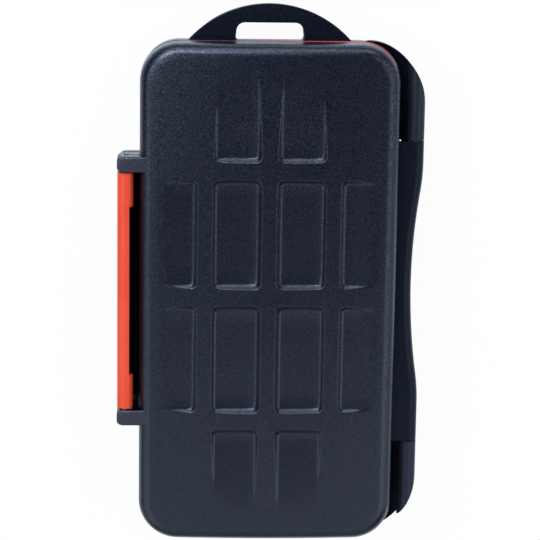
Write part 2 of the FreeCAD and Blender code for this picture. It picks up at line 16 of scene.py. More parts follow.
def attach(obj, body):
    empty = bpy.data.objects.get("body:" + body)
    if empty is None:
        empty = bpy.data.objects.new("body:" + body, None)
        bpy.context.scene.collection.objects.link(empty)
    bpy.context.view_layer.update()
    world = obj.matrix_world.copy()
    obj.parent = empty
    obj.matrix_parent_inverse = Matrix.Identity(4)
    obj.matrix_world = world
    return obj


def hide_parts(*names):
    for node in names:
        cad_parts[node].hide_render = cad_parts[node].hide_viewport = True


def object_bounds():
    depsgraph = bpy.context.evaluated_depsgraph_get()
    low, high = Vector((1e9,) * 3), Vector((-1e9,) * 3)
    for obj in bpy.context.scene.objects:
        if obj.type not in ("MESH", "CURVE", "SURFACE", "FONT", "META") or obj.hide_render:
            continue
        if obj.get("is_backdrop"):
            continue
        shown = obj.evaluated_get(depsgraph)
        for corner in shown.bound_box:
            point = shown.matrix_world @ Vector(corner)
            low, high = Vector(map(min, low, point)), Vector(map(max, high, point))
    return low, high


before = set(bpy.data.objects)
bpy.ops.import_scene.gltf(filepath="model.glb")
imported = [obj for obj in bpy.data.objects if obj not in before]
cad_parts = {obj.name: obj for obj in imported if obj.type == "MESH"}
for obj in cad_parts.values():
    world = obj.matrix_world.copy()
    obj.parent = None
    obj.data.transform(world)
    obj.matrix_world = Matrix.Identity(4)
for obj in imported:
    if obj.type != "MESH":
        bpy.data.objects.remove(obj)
cad_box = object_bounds()
MM = 0.001

# %% [markdown]
# ## The camera
# A product photograph of a flat case is taken from almost straight above with a long lens.
# The lean towards the loop, the slight turn and the roll were found by fitting the panel
# grid, the latch and the outline of the case, so the camera is built from its three axes
# instead of being aimed by eye.

# %% Place the camera
AIM = Vector((0.31, 7.67, 22.0)) * MM
LEAN, TURN, ROLL = (math.radians(angle) for angle in (12.34, -2.49, 0.85))
DISTANCE = 606.8 * MM

back = Vector((math.sin(TURN) * math.cos(LEAN), math.sin(LEAN), math.cos(TURN) * math.cos(LEAN)))
level_right = Vector((0, 1, 0)).cross(back).normalized()
level_up = back.cross(level_right)
right = level_right * math.cos(ROLL) + level_up * math.sin(ROLL)
up = level_up * math.cos(ROLL) - level_right * math.sin(ROLL)

camera_data = bpy.data.cameras.new("camera")
camera_data.sensor_width = 36
camera_data.lens = 158.77
camera = bpy.data.objects.new("camera", camera_data)
axes = Matrix((right, up, back)).transposed().to_4x4()
camera.matrix_world = Matrix.Translation(AIM + back * DISTANCE) @ axes
bpy.context.collection.objects.link(camera)
bpy.context.scene.camera = camera
print("camera at", [round(value, 4) for value in camera.matrix_world.translation])

# %% [markdown]
# ## Writing finishes as expressions
# Every finish below is a node tree. Joining nodes by hand hides the idea behind the wiring,
# so a socket is wrapped in a small class: arithmetic on it adds Math nodes, and one method
# adds any other node. A finish then reads like a formula.

# %% A socket that does arithmetic
class Wire:
    """An output socket of a finish. Arithmetic on it adds Math nodes."""

    def __init__(self, finish, socket):
        self.finish = finish
        self.socket = socket

    def math(self, operation, *values):
        return self.finish.add("ShaderNodeMath", {"operation": operation}, dict(enumerate(values)))

    def __add__(self, other):
        return self.math("ADD", self, other)

    def __sub__(self, other):
        return self.math("SUBTRACT", self, other)

    def __mul__(self, other):
        return self.math("MULTIPLY", self, other)

    __radd__ = __add__


class Finish:
    """A material under construction."""

    def __init__(self, name):
        self.material = bpy.data.materials.new(name)
        self.material.use_nodes = True
        self.tree = self.material.node_tree
        self.tree.nodes.clear()
        self.place = self.add("ShaderNodeTexCoord", output="Object")

    def add(self, kind, settings=None, sockets=None, output=0):
        """Add one node: its settings first, then its sockets' values or links."""
        node = self.tree.nodes.new(kind)
        for name, setting in (settings or {}).items():
            if name == "stops":
                self.set_stops(node.color_ramp, setting)
            else:
                setattr(node, name, setting)
        for name, value in (sockets or {}).items():
            if isinstance(value, Wire):
                self.tree.links.new(value.socket, node.inputs[name])
            else:
                node.inputs[name].default_value = value
        return Wire(self, node.outputs[output]) if node.outputs else node

    @staticmethod
    def set_stops(ramp, stops):
        while len(ramp.elements) < len(stops):
            ramp.elements.new(0.5)
        for element, (position, level) in zip(ramp.elements, stops):
            element.position = position
            element.color = (level, level, level, 1)

    def noise(self, size, detail=2, roughness=0.5, place=None):
        """Cloudy noise whose features are about the given size."""
        return self.add("ShaderNodeTexNoise", None, {
            "Vector": place or self.place, "Scale": 1 / size,
            "Detail": detail, "Roughness": roughness})

    def ramp(self, value, *stops):
        return self.add("ShaderNodeValToRGB", {"stops": stops}, {"Fac": value})

    def blend(self, factor, first, second):
        """Mix two colours."""
        colours = {0: factor, 6: first, 7: second}
        return self.add("ShaderNodeMix", {"data_type": "RGBA"}, colours, output=2)

    def stretched(self, scale):
        """The object's own coordinates, scaled along each axis."""
        return self.add("ShaderNodeVectorMath", {"operation": "MULTIPLY"},
                        {0: self.place, 1: scale})

    def bump(self, height, depth, strength=1.0):
        return self.add("ShaderNodeBump", None, {
            "Height": height, "Distance": depth, "Strength": strength})

    def surface(self, **sockets):
        """Close the tree with a Principled surface. Underscores stand for spaces."""
        named = {name.replace("_", " "): value for name, value in sockets.items()}
        shader = self.add("ShaderNodeBsdfPrincipled", None, named)
        self.add("ShaderNodeOutputMaterial", None, {"Surface": shader})
        print("finish", self.material.name, "with", len(self.tree.nodes), "nodes")
        return self.material


# %% [markdown]
# ## Black plastic, grained and smooth
# The lid is moulded in a tool whose cavity was spark eroded, which leaves an even grain about
# half a millimetre wide. The peaks of the grain take a polish, so one noise drives the bump
# and a clear coat on the peaks, and the coat gives the speckled shine. The same noise paints
# the peaks a paler black, a painted glint of the light they catch. Both fade towards the end
# away from the loop. The plastic is a cold blue black, and its gloss is tinted the same way.
# A wide soft noise keeps large faces from looking flat, and rubbed streaks dull them where
# the case slides in and out of a pocket.
#
# Five finishes share this recipe. The loop, leaf and catch come from a smooth part of the tool
# and keep a trace of grain. The hinge knuckles are the same in a paler black. The ears
# are a matt, paler grey black, but a polished slide cut their ends, which shine.

# %% Make the black plastics
# Each pair is a valley tone and a paler peak tone; the paler peaks are a painted glint.
BLACK = ((0.0008, 0.0016, 0.0046, 1), (0.0030, 0.0048, 0.0110, 1))
# A paler grey black for the ears.
GREY_BLACK = ((0.011, 0.0115, 0.015, 1), (0.024, 0.024, 0.030, 1))
# A paler black for the hinge knuckles.
PALER_BLACK = ((0.0076, 0.0088, 0.0130, 1), (0.0146, 0.0164, 0.0228, 1))
COLD_GLOSS = (0.42, 0.58, 1.0, 1)
GRAIN, FINE_GRAIN, CLOUD, STREAK = 0.42 * MM, 0.24 * MM, 16 * MM, 5 * MM
STREAK_STRETCH = (1.0, 0.16, 1.0)
SPECKLE_FADE_SPAN = 125 * MM


def black_plastic(name, grain_depth, shine, gloss, tones=BLACK, mirror=0.5):
    finish = Finish(name)
    grain = finish.noise(GRAIN, detail=3, roughness=0.55)
    fine = finish.noise(FINE_GRAIN, detail=1)
    cloud = finish.noise(CLOUD, detail=2)
    rubbed = finish.noise(STREAK, detail=4, roughness=0.7, place=finish.stretched(STREAK_STRETCH))
    rub = finish.ramp(rubbed, (0.52, 0.0), (0.72, 1.0))
    peaks = finish.ramp(grain, (0.40, 0.0), (0.64, 1.0))
    along = finish.add("ShaderNodeSeparateXYZ", None, {0: finish.place}, output="Y")
    # The coat and the painted glint on the peaks fade towards the end away from the loop.
    crisp = finish.ramp(along * (1 / SPECKLE_FADE_SPAN) + 0.5, (0.05, 0.25), (0.9, 1.0))
    polish_and_painted_glint = 0.5 + (peaks - 0.5) * crisp
    # The base colour is paler on the grain peaks: a painted glint, beside the real coat there.
    return finish.surface(
        Base_Color=finish.blend(polish_and_painted_glint, *tones),
        Roughness=gloss + cloud * 0.06 + fine * 0.06 + rub * 0.04,
        Specular_IOR_Level=mirror,
        Specular_Tint=COLD_GLOSS,
        Coat_Weight=polish_and_painted_glint * shine,
        Coat_Roughness=0.28,
        Normal=finish.bump(grain * 0.75 + fine * 0.25, grain_depth),
    )


GRAINED = black_plastic("black_grained_plastic", 0.05 * MM, 1.0, 0.23)
SMOOTH = black_plastic("black_smooth_plastic", 0.012 * MM, 0.15, 0.32, mirror=0.25)
POLISHED = black_plastic("black_polished_plastic", 0.002 * MM, 0.0, 0.04, mirror=1.0)
PALE_SMOOTH = black_plastic("pale_black_smooth_plastic", 0.012 * MM, 0.15, 0.32, PALER_BLACK, mirror=0.4)
MATT = black_plastic("black_matt_plastic", 0.02 * MM, 1.0, 0.45, GREY_BLACK)

# %% [markdown]
# ## Orange latch plastic
# The latch is moulded in a brighter, smoother plastic with a satin skin. Its colour shifts a
# little where the melt flowed, and a very fine texture softens its highlight.

# %% Make the orange plastic
def orange_plastic():
    finish = Finish("orange_satin_plastic")
    flow = finish.noise(9 * MM, detail=2)
    skin = finish.noise(0.3 * MM, detail=2)
    colour = finish.blend(finish.ramp(flow, (0.35, 0.0), (0.65, 1.0)),
                          (0.62, 0.045, 0.0115, 1), (0.67, 0.055, 0.0165, 1))
    return finish.surface(
        Base_Color=colour,
        Roughness=0.38 + flow * 0.08,
        Normal=finish.bump(skin, 0.006 * MM, 0.5),
    )


ORANGE = orange_plastic()

# %% [markdown]
# ## Red silicone, soft tray rubber and steel
# Silicone is matt with a faint powdery sheen. The trays are a dark rubber that is duller than
# the shells. The pins are drawn steel wire, so their roughness is streaked along their length.

# %% Make the smaller finishes
def red_silicone():
    finish = Finish("red_silicone")
    dust = finish.noise(1.2 * MM, detail=3)
    colour = finish.blend(dust, (0.36, 0.020, 0.024, 1), (0.46, 0.034, 0.038, 1))
    return finish.surface(Base_Color=colour, Roughness=0.46 + dust * 0.16, Sheen_Weight=0.1,
                          Normal=finish.bump(dust, 0.01 * MM, 0.4))


def tray_rubber():
    finish = Finish("grey_tray_rubber")
    matt = finish.noise(0.6 * MM, detail=4, roughness=0.6)
    wide = finish.noise(22 * MM, detail=2)
    colour = finish.blend(wide, (0.026, 0.028, 0.032, 1), (0.040, 0.043, 0.048, 1))
    return finish.surface(Base_Color=colour, Roughness=0.62 + matt * 0.2, Sheen_Weight=0.2,
                          Normal=finish.bump(matt, 0.02 * MM, 0.5))


def drawn_steel():
    finish = Finish("drawn_steel")
    streaks = finish.noise(0.15 * MM, detail=3, place=finish.stretched((1.0, 0.03, 1.0)))
    colour = finish.blend(streaks, (0.50, 0.50, 0.52, 1), (0.66, 0.66, 0.67, 1))
    return finish.surface(Base_Color=colour, Metallic=1.0, Roughness=0.22 + streaks * 0.2,
                          Normal=finish.bump(streaks, 0.004 * MM, 0.5))


RED, RUBBER, STEEL = red_silicone(), tray_rubber(), drawn_steel()

# %% [markdown]
# ## Building meshes from lines
# Moulded parts are smooth faces that meet in small, even radii. A few helpers cover all of
# them. One makes a mesh object from points and faces and tells the frame which body carries
# it, one joins rings of points into skins, and one rounds the sharp edges that are left.

# %% Mesh helpers
def piece(name, points, faces, body, material):
    mesh = bpy.data.meshes.new(name)
    corners = [[int(number) for number in face] for face in faces]
    mesh.from_pydata(np.asarray(points).tolist(), [], corners)
    mesh.validate()
    mesh.polygons.foreach_set("use_smooth", [True] * len(mesh.polygons))
    mesh.materials.append(material)
    made = bpy.data.objects.new(name, mesh)
    bpy.context.collection.objects.link(made)
    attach(made, body)
    print(f"{name}: {len(mesh.polygons)} faces on {body}")
    return made


def black_piece(name, points, faces, body, material=SMOOTH):
    return piece(name, points, faces, body, material)


def round_edges(made, radius, segments=3, angle=35):
    """Round the sharp edges of a piece and keep its flat faces flat."""
    bevel = made.modifiers.new("edge_radius", "BEVEL")
    bevel.width = radius
    bevel.segments = segments
    bevel.limit_method = "ANGLE"
    bevel.angle_limit = math.radians(angle)
    made.modifiers.new("flat_faces", "WEIGHTED_NORMAL")


def band(lower, upper):
    """Quads between two closed rings of vertex numbers."""
    return np.stack([lower, np.roll(lower, -1), np.roll(upper, -1), upper], axis=1)


def loft(rings, caps=True):
    """Points and faces of a skin through equal closed rings."""
    rings = np.asarray(rings)
    count, size = rings.shape[:2]
    numbers = np.arange(count * size).reshape(count, size)
    faces = [face for step in range(count - 1) for face in band(numbers[step], numbers[step + 1])]
    if caps:
        faces += [numbers[0][::-1], numbers[-1]]
    return rings.reshape(-1, 3), faces


def closed_loft(rings):
    """Points and faces of a skin whose last ring joins its first, as round a hole."""
    rings = np.asarray(rings)
    points, faces = loft(np.concatenate([rings, rings[:1]]), caps=False)
    count = len(points) - rings.shape[1]
    return points[:count], [face % count for face in faces]


def circle(x, z, radius, turns):
    """Points on a circle in a cross-section, at the given angles."""
    return np.stack([x + radius * np.cos(turns), z + radius * np.sin(turns)], axis=1)


def flipped(faces):
    return [face[::-1] for face in faces]


def at_y(section, y):
    """A cross-section of x and z, set at a place along the case."""
    return np.insert(np.asarray(section), 1, y, axis=1)


# %% [markdown]
# ## Grids that follow the outline
# Each shell is a large face whose details line up with its sides. A grid of lines fits
# that better than a subdivided box: lines are packed where a wall or a radius needs them
# and spread out elsewhere. Towards the four corners the square rings of the grid are bent
# into arcs, so that the outermost line is the rounded outline.

# %% Grid lines
HALF_WIDTH, HALF_LENGTH, CORNER = 33 * MM, 65 * MM, 10 * MM
CORE = np.array([HALF_WIDTH - CORNER, HALF_LENGTH - CORNER])


def mirrored(*groups):
    """All the lines of one half, and the same on the other side of the middle."""
    half = np.concatenate([np.atleast_1d(group) for group in groups])
    return np.unique(np.round(np.concatenate([-half, half]), 7))


def outline_grid(x_lines, y_lines, corner, core=CORE):
    """A grid whose rings bend round the corners, and each point's distance in from the outline."""
    x, y = np.meshgrid(x_lines, y_lines)
    a = np.maximum(np.abs(x) - core[0], 0)
    b = np.maximum(np.abs(y) - core[1], 0)
    reach = np.maximum(a, b)
    share = np.minimum(a, b) / np.maximum(reach, 1e-12) * math.pi / 4
    angle = np.where(b <= a, share, math.pi / 2 - share)
    in_corner = (a > 0) & (b > 0)
    bent_x = np.where(in_corner, np.sign(x) * (core[0] + reach * np.cos(angle)), x)
    bent_y = np.where(in_corner, np.sign(y) * (core[1] + reach * np.sin(angle)), y)
    return bent_x, bent_y, corner - reach


def grid_faces(numbers):
    """Quads of a grid of vertex numbers, and the ring of numbers along its border."""
    corners = numbers[:-1, :-1], numbers[:-1, 1:], numbers[1:, 1:], numbers[1:, :-1]
    border = numbers[0, :-1], numbers[:-1, -1], numbers[-1, :0:-1], numbers[:0:-1, 0]
    return np.stack(corners, axis=-1).reshape(-1, 4), np.concatenate(border)


def closed_shell(grid, rings, core=CORE):
    """A skin from a grid, over rings to a flat inside.

    Each ring is a distance from the corners' centres, and a height.
    """
    faces, border = grid_faces(np.arange(grid[..., 0].size).reshape(grid.shape[:2]))
    flat = grid.reshape(-1, 3)
    outline = flat[border][:, :2]
    middle = np.clip(outline, -core, core)
    away = outline - middle
    away = away / np.linalg.norm(away, axis=1, keepdims=True)
    points, faces, ring = [flat], list(faces), border
    for radius, height in rings:
        level = np.broadcast_to(height, len(border))
        row = np.concatenate([middle + away * radius, level[:, None]], axis=1)
        numbers = np.arange(len(row)) + sum(map(len, points))
        faces += list(band(numbers, ring))
        points.append(row)
        ring = numbers
    return np.concatenate(points), faces + [ring[::-1]]


def edge_drop(inset, radius):
    """How far a rounded edge lies below the face, by the distance in from the outline."""
    short = np.clip(radius - inset, 0, radius)
    return radius - np.sqrt(radius ** 2 - short ** 2)


def edge_lines(half, radius):
    """Lines packed over a rounded edge, and a few that lead to the corner's centre."""
    steps = radius * (1 - np.cos(np.linspace(0, math.pi / 2, 11)))
    return half - np.concatenate([steps, np.linspace(radius + 1.2 * MM, CORNER, 5)])


# %% [markdown]
# ## The lid's height
# The face is curved across its width. Each panel is a floor with walls that lean out, and the
# lid is wherever the lower of face and panel is. A smooth minimum between the two gives the
# radius along every panel's edge, and lets a panel fade out by itself where the face sinks
# to its floor. The floors of the side and end panels rise outwards until they run out.

# %% Panels and crown
CASE_TOP, CROWN_RADIUS, EDGE_RADIUS = 22 * MM, 319 * MM, 3.3 * MM
ROW_RIB, COLUMN_RIB = 4.1 * MM, 3.65 * MM
PANEL_WIDTH, PANEL_LENGTH, PANEL_DEPTH = 12.95 * MM, 28.7 * MM, 1.5 * MM
COLUMN = (COLUMN_RIB / 2, COLUMN_RIB / 2 + PANEL_WIDTH)
ROW = (ROW_RIB / 2, ROW_RIB / 2 + PANEL_LENGTH)
SIDE_START, SIDE_END, SIDE_DEPTH = 18.2 * MM, 27.0 * MM, 1.3 * MM
END_START, END_FADE = ROW[1] + ROW_RIB, 24 * MM
PATTERN_SHIFT = 0.2 * MM
END_CURVE = 1.15
WALL_LEAN = math.tan(math.radians(36))
PANEL_CORNER, PANEL_FILLET, PANEL_BROW = 1.0 * MM, 0.42 * MM, 0.16 * MM
FULL_PANEL = (COLUMN[0], ROW[0]), (COLUMN[1], ROW[1])
BEYOND = 2 * HALF_LENGTH


def smooth_min(a, b, radius):
    share = np.clip(0.5 + 0.5 * (b - a) / radius, 0, 1)
    return b + (a - b) * share - radius * share * (1 - share)


def outside_box(x, y, middle, half, corner):
    """Signed distance from a rectangle with rounded corners."""
    dx = np.abs(x - middle[0]) - half[0] + corner
    dy = np.abs(y - middle[1]) - half[1] + corner
    beyond = np.hypot(np.maximum(dx, 0), np.maximum(dy, 0))
    return beyond + np.minimum(np.maximum(dx, dy), 0) - corner


def panel_rise(x, y, low, high, depth):
    """How far a panel's leaning walls rise above its floor."""
    run = depth * WALL_LEAN
    middle = [(a + b) / 2 for a, b in zip(low, high)]
    half = [(b - a) / 2 - run for a, b in zip(low, high)]
    away = outside_box(x, y, middle, half, PANEL_CORNER)
    return (away + np.sqrt(away ** 2 + PANEL_FILLET ** 2)) / 2 / WALL_LEAN


def crown(x):
    return CASE_TOP - CROWN_RADIUS + np.sqrt(CROWN_RADIUS ** 2 - x ** 2)


def lid_face(x, y):
    across, along = np.abs(x), np.abs(y - PATTERN_SHIFT)
    side_low, side_high = crown(SIDE_START) - SIDE_DEPTH, crown(SIDE_END)
    side_floor = side_low + (across - SIDE_START) * (side_high - side_low) / (SIDE_END - SIDE_START)
    end_share = np.clip(1 - (along - END_START) / END_FADE, 0, 1) ** END_CURVE
    end_floor = CASE_TOP - PANEL_DEPTH * end_share
    side_panel = (SIDE_START, ROW[0]), (BEYOND, ROW[1])
    end_panel = (COLUMN[0], END_START), (COLUMN[1], BEYOND)
    centre = CASE_TOP - PANEL_DEPTH + panel_rise(across, along, *FULL_PANEL, PANEL_DEPTH)
    side = side_floor + panel_rise(across, along, *side_panel, SIDE_DEPTH)
    end = end_floor + panel_rise(across, along, *end_panel, PANEL_DEPTH)
    face = crown(x)
    for panel in (centre, side, end):
        face = smooth_min(face, panel, PANEL_BROW)
    return face


# %% [markdown]
# ## The lid moulding
# With its height known, the lid is the grid lifted to that height, a wall down to the rim,
# the rim itself and a plain inside. It is one closed skin, as the moulding is.

# %% Make the lid
RIM, WALL, LIP = 12.65 * MM, 2.2 * MM, 0.25 * MM
LID_CEILING = 18.0 * MM
WALL_ZONE = 1.6 * MM


def wall_lines(edge, direction):
    """Lines packed over a panel's leaning wall, from just outside its edge inwards."""
    return edge + direction * np.arange(-0.40, 1.75, 0.12) * MM


def spread(start, end, step):
    """Even lines about a step apart between two places, without the ends."""
    return np.linspace(start, end, max(int(round((end - start) / step)), 1) + 1)[1:-1]


lid_x = mirrored(
    edge_lines(HALF_WIDTH, EDGE_RADIUS), 0,
    wall_lines(COLUMN[0], 1), wall_lines(COLUMN[1], -1), wall_lines(SIDE_START, 1),
    spread(COLUMN[0] + WALL_ZONE, COLUMN[1] - WALL_ZONE, 2 * MM),
    spread(SIDE_START + WALL_ZONE, CORE[0], 1.2 * MM),
)
lid_y = np.union1d(
    mirrored(edge_lines(HALF_LENGTH, EDGE_RADIUS)),
    np.round(PATTERN_SHIFT + mirrored(
        0, wall_lines(ROW[0], 1), wall_lines(ROW[1], -1), wall_lines(END_START, 1),
        spread(ROW[0] + WALL_ZONE, ROW[1] - WALL_ZONE, 3 * MM),
        spread(END_START + WALL_ZONE, CORE[1] - 0.6 * MM, 2 * MM),
    ), 7),
)


def make_lid():
    x, y, inset = outline_grid(lid_x, lid_y, CORNER)
    face = np.stack([x, y, lid_face(x, y) - edge_drop(inset, EDGE_RADIUS)], axis=-1)
    _, border = grid_faces(np.arange(x.size).reshape(x.shape))
    brow = face.reshape(-1, 3)[border][:, 2]
    wall = [(CORNER, RIM + LIP + (brow - RIM - LIP) * share) for share in (0.75, 0.5, 0.25, 0)]
    rim = [(CORNER - LIP, RIM), (CORNER - WALL + LIP, RIM), (CORNER - WALL, RIM + LIP)]
    points, faces = closed_shell(face, wall + rim + [(CORNER - WALL, LID_CEILING)])
    made = black_piece("lid_moulding", points, faces, "lid", GRAINED)
    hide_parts("lid_shell")
    return made


make_lid()

# %% [markdown]
# ## The base moulding
# The base is made in the same way, upside down. Its walls lean in towards the back, as every
# deep moulding's do so that it leaves the tool, and its back face has four shallow panels.

# %% Make the base
BASE_TOP, BASE_FLOOR, BACK_RADIUS, BACK_DEPTH = 12 * MM, 2 * MM, 3 * MM, 0.8 * MM
BACK_BROW = 0.25 * MM
DRAFT = math.tan(math.radians(4))


def wall_inset(z):
    """How far the leaning wall lies inside the rim's outline at a height."""
    return (BASE_TOP - z) * DRAFT


def make_base():
    shrink = wall_inset(BACK_RADIUS)
    x_lines = mirrored(edge_lines(HALF_WIDTH - shrink, BACK_RADIUS), 0, CORE[0],
                       wall_lines(COLUMN[0], 1), wall_lines(COLUMN[1], -1), spread(*COLUMN, 3 * MM))
    y_lines = mirrored(edge_lines(HALF_LENGTH - shrink, BACK_RADIUS), 0, CORE[1],
                       wall_lines(ROW[0], 1), wall_lines(ROW[1], -1),
                       spread(*ROW, 5 * MM), spread(ROW[1], CORE[1], 5 * MM))
    x, y, inset = outline_grid(x_lines, y_lines, CORNER - shrink)
    panel = BACK_DEPTH - panel_rise(np.abs(x), np.abs(y), *FULL_PANEL, BACK_DEPTH)
    back_face = -smooth_min(np.zeros_like(x), -panel, BACK_BROW)
    grid = np.stack([x, y, np.maximum(back_face, 0) + edge_drop(inset, BACK_RADIUS)], axis=-1)
    heights = np.linspace(BACK_RADIUS + 1 * MM, BASE_TOP - LIP, 6)
    wall = [(CORNER - wall_inset(z), z) for z in heights]
    rim = [(CORNER - LIP, BASE_TOP), (CORNER - WALL + LIP, BASE_TOP),
           (CORNER - WALL, BASE_TOP - LIP)]
    points, faces = closed_shell(grid, wall + rim + [(CORNER - WALL, BASE_FLOOR)])
    made = black_piece("base_moulding", points, flipped(faces), "base", GRAINED)
    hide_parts("base_shell")
    return made


make_base()

# %% [markdown]
# ## Ears and guards
# Two stout ears stand out from the lid's long edge and hold the latch pin between them, and
# the base has a low guard behind each. A bar's cross-section is a rounded rectangle that
# shrinks towards both ends, which rounds its corners. An ear also has a hole: a circle with
# as many points as the rectangle, so that the end faces are clean rings of quads. Those end
# faces get the polished finish, and so does the upper guard.

# %% Make the ears and guards
LATCH_X, LATCH_Z, LATCH_SHIFT, LATCH_LENGTH = -36.6 * MM, 17.35 * MM, 1.0 * MM, 61.7 * MM
EAR_GAP, EAR_THICKNESS, EAR_TOP, EAR_REACH = 0.3 * MM, 4.1 * MM, 20.15 * MM, 5.75 * MM
GUARD_BOTTOM, GUARD_REACH = 9.2 * MM, 5.2 * MM
EAR_ROOT, GUARD_ROOT = -30.2 * MM, -31.4 * MM
BAR_CORNER, BAR_ROUND, EAR_EDGE, GUARD_EDGE = 0.8 * MM, 1.3 * MM, 0.6 * MM, 0.4 * MM
PIN_RADIUS, MOUTH_FLARE, MOUTH_DEPTH = 0.75 * MM, 1.3, 0.25 * MM
END_FACE = 0.95


def rounded_rectangle(low, high, corner, steps=6):
    """Points round a rectangle with equal corner arcs, counter-clockwise from its lower right."""
    points = []
    for quarter, sides in enumerate([(1, 0), (1, 1), (0, 1), (0, 0)]):
        centre = [high[axis] - corner if side else low[axis] + corner
                  for axis, side in enumerate(sides)]
        for turn in np.linspace(-90, 0, steps):
            angle = math.radians(turn + 90 * quarter)
            points.append((centre[0] + corner * math.cos(angle),
                           centre[1] + corner * math.sin(angle)))
    return np.array(points)


def bar(low, high, plan_round, top_round):
    """Rings of a rounded bar along Y, from its low to its high corner."""
    steps = plan_round * (1 - np.cos(np.linspace(0, math.pi / 2, 7)))
    rings = []
    for y in np.concatenate([low[1] + steps, high[1] - steps[::-1]]):
        inset = min(y - low[1], high[1] - y)
        section = rounded_rectangle((low[0] + edge_drop(inset, plan_round), low[2]),
                                    (high[0], high[2] - edge_drop(inset, top_round)), BAR_CORNER)
        rings.append(at_y(section, y))
    return rings


def ear_span(sign):
    near = LATCH_SHIFT + sign * (LATCH_LENGTH / 2 + EAR_GAP)
    return sorted((near, near + sign * EAR_THICKNESS))


def make_ear(name, sign):
    start, end = ear_span(sign)
    low, high = (-HALF_WIDTH - EAR_REACH, start, RIM), (EAR_ROOT, end, EAR_TOP)
    rings = bar(low, high, BAR_ROUND, EAR_EDGE)
    around = np.arctan2(rings[0][:, 2] - LATCH_Z, rings[0][:, 0] - LATCH_X)
    hole = circle(LATCH_X, LATCH_Z, PIN_RADIUS, around)
    mouth = circle(LATCH_X, LATCH_Z, PIN_RADIUS * MOUTH_FLARE, around)
    rings += [at_y(mouth, end), at_y(hole, end - MOUTH_DEPTH),
              at_y(hole, start + MOUTH_DEPTH), at_y(mouth, start)]
    points, faces = closed_loft(rings)
    made = black_piece(name, points, flipped(faces), "lid", MATT)
    made.data.materials.append(POLISHED)
    for polygon in made.data.polygons:
        polygon.material_index = int(abs(polygon.normal.y) > END_FACE)
    return made


def make_guard(name, sign):
    start, end = ear_span(sign)
    low, high = (-HALF_WIDTH - GUARD_REACH, start, GUARD_BOTTOM), (GUARD_ROOT, end, BASE_TOP)
    points, faces = loft(bar(low, high, BAR_ROUND, GUARD_EDGE))
    return black_piece(name, points, flipped(faces), "base", POLISHED if sign > 0 else SMOOTH)


for place, sign in (("upper", 1), ("lower", -1)):
    make_ear(f"{place}_latch_ear", sign)
    make_guard(f"{place}_latch_guard", sign)

# %% [markdown]
# ## The catch
# The latch hooks under a long bead on the base's wall. Its lower side is flat, to hold, and
# its upper side slopes, so that the hook slides over it when the case is pressed shut.

# %% Make the catch
CATCH_LEVEL, CATCH_REACH, CATCH_LENGTH = 6.5 * MM, 2.9 * MM, LATCH_LENGTH + 6 * MM
CATCH_ROOT, CATCH_RISE, CATCH_NOSE = 1.1 * MM, 4 * MM, 1 * MM


def make_catch():
    root, nose = -HALF_WIDTH + CATCH_ROOT, -HALF_WIDTH - CATCH_REACH
    section = [(root, CATCH_LEVEL), (root, CATCH_LEVEL + CATCH_RISE),
               (nose, CATCH_LEVEL + CATCH_NOSE), (nose, CATCH_LEVEL)]
    half = CATCH_LENGTH / 2
    points, faces = loft([at_y(section, LATCH_SHIFT - half), at_y(section, LATCH_SHIFT + half)])
    made = black_piece("catch_bead", points, flipped(faces), "base")
    round_edges(made, 0.3 * MM)
    return made


make_catch()

# %% [markdown]
# ## The carry loop
# The loop is a flat arched tab with a slot for a wrist cord. Rays from the middle of the slot
# pair each point of the slot's edge with one on the arch, so that the flat sides are rings
# of quads and a bevel can run cleanly round both edges.

# %% Make the loop
LOOP_RADIUS, LOOP_REACH = 28 * MM, 9.15 * MM
LOOP_LEVEL, LOOP_THICKNESS = 4.5 * MM, 4.5 * MM
SLOT_TOP, SLOT_ROOT = HALF_LENGTH + 4.26 * MM, HALF_LENGTH - 0.9 * MM
SLOT_HALF_TOP, SLOT_HALF_ROOT, SLOT_CORNER = 8.3 * MM, 8.95 * MM, 1.8 * MM
LOOP_ROOT, LOOP_DRAFT = HALF_LENGTH - 1.6 * MM, 0.93
SLOT_POINTS, TINY = 160, 1e-9


def slot_edge():
    """The slot's edge: a rounded rectangle that widens towards the case."""
    edge = rounded_rectangle((-SLOT_HALF_TOP, SLOT_ROOT), (SLOT_HALF_TOP, SLOT_TOP), SLOT_CORNER, 8)
    share = (SLOT_TOP - edge[:, 1]) / (SLOT_TOP - SLOT_ROOT)
    edge[:, 0] *= 1 + share * (SLOT_HALF_ROOT / SLOT_HALF_TOP - 1)
    edge = np.concatenate([edge, edge[:1]])
    along = np.concatenate([[0], np.cumsum(np.linalg.norm(np.diff(edge, axis=0), axis=1))])
    even = np.linspace(0, along[-1], SLOT_POINTS, endpoint=False)
    return np.stack([np.interp(even, along, edge[:, axis]) for axis in (0, 1)], axis=1)


def arch_edge(slot):
    """Where rays from the slot's middle through its edge meet the arch or the root line."""
    middle = np.array([0, (SLOT_TOP + SLOT_ROOT) / 2])
    ray = slot - middle
    ray = ray / np.linalg.norm(ray, axis=1, keepdims=True)
    offset = middle - np.array([0, HALF_LENGTH + LOOP_REACH - LOOP_RADIUS])
    along = ray @ offset
    reach = -along + np.sqrt(along ** 2 - offset @ offset + LOOP_RADIUS ** 2)
    to_root = (LOOP_ROOT - middle[1]) / np.minimum(ray[:, 1], -TINY)
    down = np.where(ray[:, 1] < -TINY, to_root, np.inf)
    return middle + ray * np.minimum(reach, down)[:, None]


def make_loop():
    slot = slot_edge()
    arch = arch_edge(slot)
    low, high = LOOP_LEVEL, LOOP_LEVEL + LOOP_THICKNESS
    drafted = slot + (arch - slot) * LOOP_DRAFT
    edges = (drafted, low), (arch, high), (slot, high), (slot, low)
    points, faces = closed_loft([np.insert(ring, 2, z, axis=1) for ring, z in edges])
    made = black_piece("carry_loop", points, faces, "base")
    round_edges(made, 0.25 * MM, 3, 50)
    return made


make_loop()

